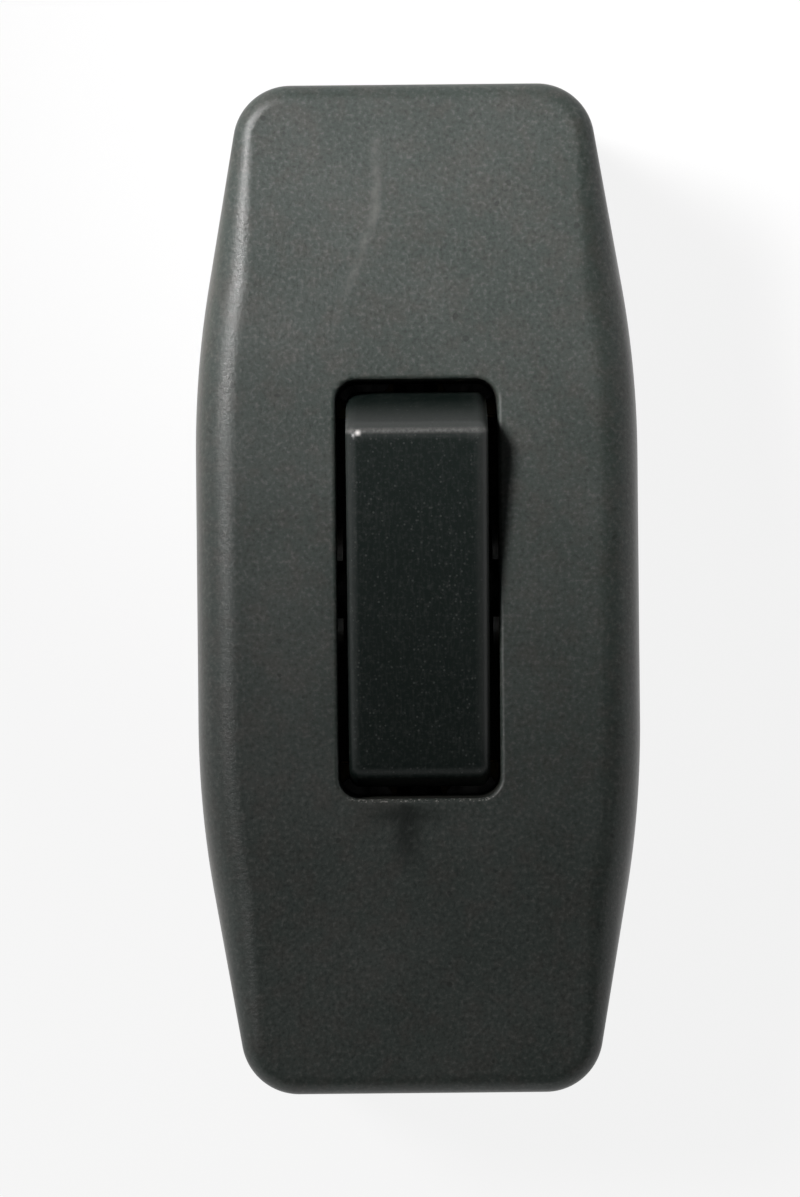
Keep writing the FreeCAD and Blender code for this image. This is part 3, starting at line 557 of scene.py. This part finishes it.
def barrelOutline():
    # straight side, knee arc, taper, corner arc, end with the cord's notch, mirrored into the whole loop:
    # its points, its outward normals and the edge rounding at each point
    taper = shell["taper"]
    kneeReach = shell["kneeRadius"] * math.tan(taper / 2)
    cornerReach = shell["cornerRadius"] * math.tan(math.pi / 4 - taper / 2)
    endX = shell["halfWidth"] - (shell["halfLength"] - shell["kneePlace"]) * math.tan(taper)
    kneeY = shell["kneePlace"] - kneeReach
    kneeCentre = np.array((shell["halfWidth"] - shell["kneeRadius"], kneeY))
    cornerCentre = np.array((endX - cornerReach, shell["halfLength"] - shell["cornerRadius"]))
    facing = np.array((math.cos(taper), math.sin(taper)))
    kneeTurn = spread(0, taper, shell["steps"]["knee"])
    cornerTurn = spread(taper, math.pi / 2, shell["steps"]["corner"])
    share = spread(0, 1, shell["steps"]["taper"])
    kneeNormal = np.column_stack((np.cos(kneeTurn), np.sin(kneeTurn)))
    cornerNormal = np.column_stack((np.cos(cornerTurn), np.sin(cornerTurn)))
    sideY = spread(0, kneeY, shell["steps"]["side"])
    kneeEnd = kneeCentre + shell["kneeRadius"] * facing
    cornerStart = cornerCentre + shell["cornerRadius"] * facing
    notch = shell["cordRadius"] * np.cos(np.linspace(0, math.pi / 2, shell["steps"]["notch"]))
    besideNotch = spread(cornerCentre[0], shell["cordRadius"], shell["steps"]["end"])
    endLine = np.concatenate((besideNotch, notch))
    points = np.concatenate((
        np.column_stack((np.full(len(sideY), shell["halfWidth"]), sideY)),
        kneeCentre + shell["kneeRadius"] * kneeNormal,
        kneeEnd + share[:, None] * (cornerStart - kneeEnd),
        cornerCentre + shell["cornerRadius"] * cornerNormal,
        np.column_stack((endLine, np.full(len(endLine), shell["halfLength"]))),
    ))
    normals = np.concatenate((
        np.tile((1.0, 0.0), (len(sideY), 1)),
        kneeNormal,
        np.tile(facing, (len(share), 1)),
        cornerNormal,
        np.tile((0.0, 1.0), (len(endLine), 1)),
    ))
    wide, narrow = shell["sideRounding"], shell["endRounding"]
    rounding = np.concatenate((
        np.full(len(sideY) + len(kneeTurn), wide),
        wide + (narrow - wide) * share,
        np.full(len(cornerTurn) + len(endLine), narrow),
    ))
    return fourQuarters(points), fourQuarters(normals), fourTimes(rounding)


def windowOutline(count):
    # axle slot, side, corner arc, end of the window: points and normals pointing away from the opening
    half, reach, corner = shell["windowHalfWidth"], shell["windowHalfLength"], shell["windowCorner"]
    slot = shell["slotRadius"] * np.sin(spread(0, math.pi / 2, shell["steps"]["slot"]))
    arc = spread(0, math.pi / 2, shell["steps"]["windowCorner"])
    endLine = np.linspace(half - corner, 0, shell["steps"]["windowEnd"])
    side = spread(shell["slotRadius"], reach - corner, count - len(slot) - len(arc) - len(endLine))
    sideY = np.concatenate((slot, side))
    arcNormal = np.column_stack((np.cos(arc), np.sin(arc)))
    points = np.concatenate((
        np.column_stack((np.full(len(sideY), half), sideY)),
        np.array((half - corner, reach - corner)) + corner * arcNormal,
        np.column_stack((endLine, np.full(len(endLine), reach))),
    ))
    normals = np.concatenate((
        np.tile((1.0, 0.0), (len(sideY), 1)),
        arcNormal,
        np.tile((0.0, 1.0), (len(endLine), 1)),
    ))
    return fourQuarters(points), fourQuarters(normals)


def upperShellRings():
    # a profile carried round the barrel: rim, wall, rounded edge, top, window edge, well, inside, rebate
    outline, normals, rounding = barrelOutline()
    window, windowNormals = windowOutline(len(outline) // 4 + 1)
    x, y = outline.T
    onEnd = np.abs(y) > shell["halfLength"] - tiny
    arch = np.where(onEnd, np.sqrt(np.maximum(shell["cordRadius"] ** 2 - x ** 2, 0)), 0)
    rim = shell["parting"] + arch
    windowX, windowY = window.T
    onSide = np.abs(windowX) > shell["windowHalfWidth"] - tiny
    inSlot = onSide & (np.abs(windowY) < shell["slotRadius"] - tiny)
    slotArch = shell["pivot"] + np.sqrt(np.maximum(shell["slotRadius"] ** 2 - windowY ** 2, 0))
    wellRim = np.where(inSlot, slotArch, shell["wellBottom"])
    top, edge, rimEdge = shell["height"], shell["windowEdge"], shell["rimEdge"]

    def ring(inset, height):
        return ringAt(outline - np.broadcast_to(inset, len(outline))[:, None] * normals, height)

    def windowRing(offset, height):
        return ringAt(window + offset * windowNormals, height)

    rings = [ring(shell["rebateInset"], rim)]
    wear = [0.0]
    for turn in np.linspace(0, math.pi / 2, shell["steps"]["rim"]):
        rings.append(ring(rimEdge * (1 - math.sin(turn)), rim + rimEdge * (1 - math.cos(turn))))
        wear.append(shell["rimWear"])
    wallFoot, wallHead = rim + rimEdge, top - rounding
    for share in shell["wallShares"]:
        rings.append(ring(0, wallFoot + share * (wallHead - wallFoot)))
        wear.append(0.0)
    for turn in np.linspace(0, math.pi / 2, shell["steps"]["rounding"]):
        rings.append(ring(rounding * (1 - math.cos(turn)), wallHead + rounding * math.sin(turn)))
        wear.append(math.sin(2 * turn))
    for between in blendRings(ring(rounding, top), windowRing(edge, top), shell["topShares"]):
        rings.append(between)
        wear.append(0.0)
    for turn in np.linspace(0, math.pi / 2, shell["steps"]["windowEdge"]):
        rings.append(windowRing(edge * (1 - math.sin(turn)), top - edge * (1 - math.cos(turn))))
        wear.append(math.sin(2 * turn))
    inside = np.maximum(shell["rebateTop"], rim + shell["cordLip"])
    inner = [
        *blendRings(windowRing(0, top - edge), windowRing(0, wellRim), shell["wellShares"]),
        windowRing(shell["wellWall"], wellRim),
        windowRing(shell["wellWall"], shell["ceiling"]),
        ring(shell["wall"], shell["ceiling"]),
        ring(shell["wall"], inside),
        ring(shell["rebateInset"], inside),
    ]
    return rings + inner, wear + [0.0] * len(inner)


rings, wear = upperShellRings()
cover = gridPiece("upperShell", rings, closed=True, wear=wear)
seat(cover, "housing", "shell", finishes["shell"], "upper_shell")
print("upper shell:", len(rings), "rings")

guides = {"start": 2.0, "radius": 4.4, "inner": 5.2, "outer": 5.6, "steps": 24}


def guidePiece(name, side, end):
    # a quarter disc about the pivot, cut off at the well's foot and carried across X from the wall
    low = math.asin((shell["wellBottom"] - shell["pivot"]) / guides["radius"])
    high = math.acos(guides["start"] / guides["radius"])
    turn = np.linspace(low, high, guides["steps"])
    along = np.concatenate((guides["radius"] * np.cos(turn), (guides["start"],)))
    height = np.concatenate((shell["pivot"] + guides["radius"] * np.sin(turn), (shell["wellBottom"],)))
    middle = (end * along.mean(), height.mean())
    # a mirrored disc runs the other way round, so that its faces still point outwards
    if side * end > 0:
        along, height = along[::-1], height[::-1]
    across = (side * guides["outer"], side * guides["inner"])
    layers = [np.column_stack((np.full(len(along), x), end * along, height)) for x in across]
    return gridPiece(name, layers, firstPole=(across[0], *middle), lastPole=(across[1], *middle))


for side, sideName in ((1, "Right"), (-1, "Left")):
    for end, endName in ((1, "Front"), (-1, "Rear")):
        seat(guidePiece(f"wellGuide{sideName}{endName}", side, end), "housing", "shell", finishes["shell"])
print("well guides made")

boss = {"place": (7.759, 30.0), "radius": 2.6, "bore": 1.5, "boreTop": 17.8, "around": 48}

for end, endName in ((1, "Front"), (-1, "Rear")):
    # screw boss: a round post under the ceiling with a blind bore, its profile turned about Z
    profile = (
        (boss["radius"], shell["ceiling"]), (boss["radius"], shell["parting"]),
        (boss["bore"], shell["parting"]), (boss["bore"], boss["boreTop"]),
    )
    centre = (end * boss["place"][0], end * boss["place"][1])
    layers = revolved(profile, boss["around"], centre)[:, ::-1]
    poles = ((*centre, shell["ceiling"]), (*centre, boss["boreTop"]))
    post = gridPiece(f"screwBoss{endName}", layers, firstPole=poles[0], lastPole=poles[1])
    seat(post, "housing", "shell", finishes["shell"])
print("screw bosses made")


# Rocker

rocker = {
    "halfWidth": 4.9,
    "swing": 13.85,
    "top": 6.8,
    "skirt": -2.0,
    "edge": 0.8,
    "leastCorner": 0.12,
    "wall": 1.3,
    "roof": 5.2,
    "hollowCorner": 0.2,
    "tilt": math.radians(8.0),
    "axleRadius": 1.6,
    "axleReach": 6.7,
    "axleBevel": 0.2,
    "axleRoot": 0.2,
    "poleOffset": 2.45,
    "blockWall": 1.9,
    "blockFoot": -5.5,
    "boreRadius": 1.3,
    "boreTop": 2.5,
    "crownShares": (0.02, 0.3, 0.6, 0.85),
    "steps": {"side": 18, "corner": 14, "end": 14, "wall": 16, "edge": 19, "axle": 40, "block": 48},
}


def inRocker(points):
    # the rocker's own frame, tilted about X and lifted to the pivot
    points = np.asarray(points, dtype=float)
    y, z = points[..., 1], points[..., 2]
    cos, sin = math.cos(rocker["tilt"]), math.sin(rocker["tilt"])
    return np.stack((points[..., 0], y * cos - z * sin, shell["pivot"] + y * sin + z * cos), axis=-1)


def roundedLoop(half, reach, corner):
    # rectangle with round corners, counter-clockwise
    arc = spread(0, math.pi / 2, rocker["steps"]["corner"])
    side = spread(0, reach - corner, rocker["steps"]["side"])
    end = np.linspace(half - corner, 0, rocker["steps"]["end"])
    quarter = np.concatenate((
        np.column_stack((np.full(len(side), half), side)),
        np.column_stack((half - corner + corner * np.cos(arc), reach - corner + corner * np.sin(arc))),
        np.column_stack((end, np.full(len(end), reach))),
    ))
    return fourQuarters(quarter)


def rockerRings():
    # the hollow from below, the outside wall whose ends are arcs about the pivot, rounded edge, flat top
    edge = rocker["edge"]

    def ring(inset, height):
        reach = math.sqrt(rocker["swing"] ** 2 - height ** 2) - inset
        corner = max(edge - inset, rocker["leastCorner"])
        return ringAt(roundedLoop(rocker["halfWidth"] - inset, reach, corner), height)

    hollowHalf = rocker["halfWidth"] - rocker["wall"]
    hollowReach = math.sqrt(rocker["swing"] ** 2 - rocker["roof"] ** 2) - rocker["wall"]
    hollow = roundedLoop(hollowHalf, hollowReach, rocker["hollowCorner"])
    rings = [ringAt(hollow, rocker["roof"]), ringAt(hollow, rocker["skirt"])]
    wear = [0.0, 0.0]
    for height in np.linspace(rocker["skirt"], rocker["top"] - edge, rocker["steps"]["wall"]):
        rings.append(ring(0, height))
        wear.append(0.0)
    for turn in np.linspace(0, math.pi / 2, rocker["steps"]["edge"])[1:]:
        rings.append(ring(edge * (1 - math.cos(turn)), rocker["top"] - edge * (1 - math.sin(turn))))
        wear.append(math.sin(2 * turn))
    crown = ringAt(np.zeros((len(hollow), 2)), rocker["top"])
    for between in blendRings(rings[-1], crown, rocker["crownShares"]):
        rings.append(between)
        wear.append(0.0)
    return inRocker(rings), wear


def axlePin(name, side):
    # a short pin along X with a bevelled end: its profile turned about Z and then laid over
    root = rocker["halfWidth"] - rocker["axleRoot"]
    profile = (
        (rocker["axleRadius"], root),
        (rocker["axleRadius"], rocker["axleReach"] - rocker["axleBevel"]),
        (rocker["axleRadius"] - rocker["axleBevel"], rocker["axleReach"]),
    )
    upright = revolved(profile, rocker["steps"]["axle"])
    laid = np.stack((side * upright[..., 2], -side * upright[..., 1], upright[..., 0]), axis=-1)
    poles = inRocker(((side * root, 0, 0), (side * rocker["axleReach"], 0, 0)))
    return gridPiece(name, inRocker(laid), firstPole=poles[0], lastPole=poles[1])


def plungerBlock(name, side):
    # half of the plunger block: outside down from the roof, across the foot, up the bore
    turn = spread(0, 2 * math.pi, rocker["steps"]["block"])
    ray = np.column_stack((np.cos(turn), np.sin(turn)))
    halfBlock = np.array(((rocker["poleOffset"] + rocker["blockWall"]) / 2, rocker["blockWall"]))
    blockX, boreX = side * halfBlock[0], side * rocker["poleOffset"]
    square = ray * (halfBlock / np.maximum(np.abs(ray), tiny)).min(axis=1)[:, None]
    square = (square + (blockX, 0))[::-1]
    bore = (ray * rocker["boreRadius"] + (boreX, 0))[::-1]
    layers = [
        ringAt(square, rocker["roof"]), ringAt(square, rocker["blockFoot"]),
        ringAt(bore, rocker["blockFoot"]), ringAt(bore, rocker["boreTop"]),
    ]
    poles = inRocker(((blockX, 0, rocker["roof"]), (boreX, 0, rocker["boreTop"])))
    return gridPiece(name, inRocker(layers), firstPole=poles[0], lastPole=poles[1])


rings, wear = rockerRings()
poles = inRocker(((0, 0, rocker["roof"]), (0, 0, rocker["top"])))
cap = gridPiece("rockerCap", rings, firstPole=poles[0], lastPole=poles[1], wear=wear)
seat(cap, "rocker_body", "rocker", finishes["rocker"], "rocker")
for side, sideName in ((1, "Right"), (-1, "Left")):
    seat(axlePin(f"rockerPin{sideName}", side), "rocker_body", "rocker", finishes["rocker"])
    seat(plungerBlock(f"plungerBlock{sideName}", side), "rocker_body", "rocker", finishes["rocker"])
print("rocker made")


# Plunger springs

spring = {
    "wire": 0.15,
    "radius": 0.75,
    "foot": -5.35,
    "head": 2.25,
    "turns": 5,
    "steps": 48,
    "around": 12,
    "travel": 0.5,
}


def springRings(side):
    # round wire carried along a helix: the centre is (r cos a, r sin a), rising evenly with a
    count = spring["turns"] * spring["steps"]
    sweep = 2 * math.pi * spring["turns"]
    turn = np.linspace(0, sweep, count)
    level = np.zeros(count)
    outward = np.column_stack((np.cos(turn), np.sin(turn), level))
    forward = np.column_stack((-np.sin(turn), np.cos(turn), level))
    tangent = forward * spring["radius"] + (0, 0, (spring["head"] - spring["foot"]) / sweep)
    tangent /= np.linalg.norm(tangent, axis=1)[:, None]
    across = np.cross(tangent, outward)
    centre = outward * spring["radius"] + (side * rocker["poleOffset"], 0, 0)
    centre[:, 2] = np.linspace(spring["foot"], spring["head"], count)
    ring = spread(0, 2 * math.pi, spring["around"])[None, :, None]
    section = np.cos(ring) * outward[:, None] + np.sin(ring) * across[:, None]
    return centre[:, None] + spring["wire"] * section, centre


for side, sideName in ((1, "right"), (-1, "left")):
    wireRings, centre = springRings(side)
    ends = inRocker(centre[[0, -1]])
    coilName = f"plungerCoil{sideName.title()}"
    coil = gridPiece(coilName, inRocker(wireRings), firstPole=ends[0], lastPole=ends[1])
    seat(coil, "rocker_body", "steel", finishes["steel"], f"plunger_spring_{sideName}")
    head = inRocker((side * rocker["poleOffset"], 0, spring["head"] + spring["wire"])) * mm
    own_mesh(coil)
print("springs made")


# Floor, light and camera

view = bpy.context.scene.view_settings
view.view_transform = "Standard"

floorLook = {
    "reach": 1500.0,
    "sweep": 500.0,
    "wallTop": 1000.0,
    "drop": 0.02,
    "bendSteps": 17,
    "around": 96,
    "colour": (0.8, 0.8, 0.8, 1),
    "shadowShare": 0.12,
}
white = (1, 1, 1, 1)
# a round floor whose rim sweeps up into a wall: flat, quarter arc, upright, turned about Z
bend = np.linspace(0, math.pi / 2, floorLook["bendSteps"])
sweepRadius = floorLook["reach"] + floorLook["sweep"] * np.sin(bend)
sweepHeight = floorLook["sweep"] * (1 - np.cos(bend)) - floorLook["drop"]
profile = np.vstack((np.column_stack((sweepRadius, sweepHeight)), (sweepRadius[-1], floorLook["wallTop"])))
floorRings = revolved(profile, floorLook["around"])[:, ::-1]
floor = gridPiece("floor", floorRings, firstPole=(0, 0, -floorLook["drop"]))


def seenDirectly(wire):
    # 1 for rays from the camera, and for those mirrored or passed through by the object
    seen = wire.node("LightPath", None, None, "Is Camera Ray")
    for kind in ("Is Glossy Ray", "Is Transmission Ray"):
        seen = wire.calc("MAXIMUM", seen, wire.node("LightPath", None, None, kind))
    return seen


# the floor looks white where it is seen, keeps a share of its shadow, and lights the object as pale paper
floorFinish, wire = newFinish("paleFloor")
paper = wire.node("BsdfDiffuse", None, {"Color": floorLook["colour"]})
glow = wire.node("Emission", None, {"Color": white, "Strength": 1.0})
share = seenDirectly(wire) * (1 - floorLook["shadowShare"])
wire.node("OutputMaterial", None, {"Surface": wire.node("MixShader", None, {0: share, 1: paper, 2: glow})})
floor.data.materials.append(floorFinish)

worldLook = {"fill": 0.06}
world = bpy.data.worlds.new("studio")
bpy.context.scene.world = world
world.use_nodes = True
world.node_tree.nodes.clear()
wire = Wire(world.node_tree)
sky = wire.node("Background", None, {"Color": white, "Strength": worldLook["fill"]})
wire.node("OutputWorld", None, {"Surface": sky})

# both lamps stand on the same side; the key's cone thins out towards the -Y end, the wash is even
lamps = {
    "key": {"target": (-3, 46, 23), "distance": 140, "radius": 40, "cone": 22, "watts": 5.0},
    "wash": {"target": (0, 0, 23), "distance": 500, "radius": 55, "cone": 60, "watts": 4.6},
}
lampColour = (1.0, 0.98, 0.98)
towardsLamps = Vector((-0.72, 0.35, 1.0)).normalized()
for name, lamp in lamps.items():
    light = bpy.data.lights.new(name, "SPOT")
    light.energy = lamp["watts"]
    light.color = lampColour
    light.shadow_soft_size = lamp["radius"] * mm
    light.spot_size = math.radians(lamp["cone"])
    light.spot_blend = 1.0
    holder = bpy.data.objects.new(name, light)
    bpy.context.scene.collection.objects.link(holder)
    holder.location = (Vector(lamp["target"]) + lamp["distance"] * towardsLamps) * mm
    holder.rotation_euler = towardsLamps.to_track_quat("Z", "Y").to_euler()

lens = {
    "place": (-1.26, -0.66, 343.0),
    "roll": -0.55,
    "focal": 139.25,
    "sensor": 36.0,
    "near": 10.0,
    "far": 10000.0,
}
cameraData = bpy.data.cameras.new("camera")
cameraData.lens = lens["focal"]
cameraData.sensor_width = lens["sensor"]
cameraData.clip_start = lens["near"] * mm
cameraData.clip_end = lens["far"] * mm
camera = bpy.data.objects.new("camera", cameraData)
bpy.context.scene.collection.objects.link(camera)
camera.location = Vector(lens["place"]) * mm
camera.rotation_euler = (0, 0, math.radians(lens["roll"]))
bpy.context.scene.camera = camera
print("floor, lamps and camera placed")
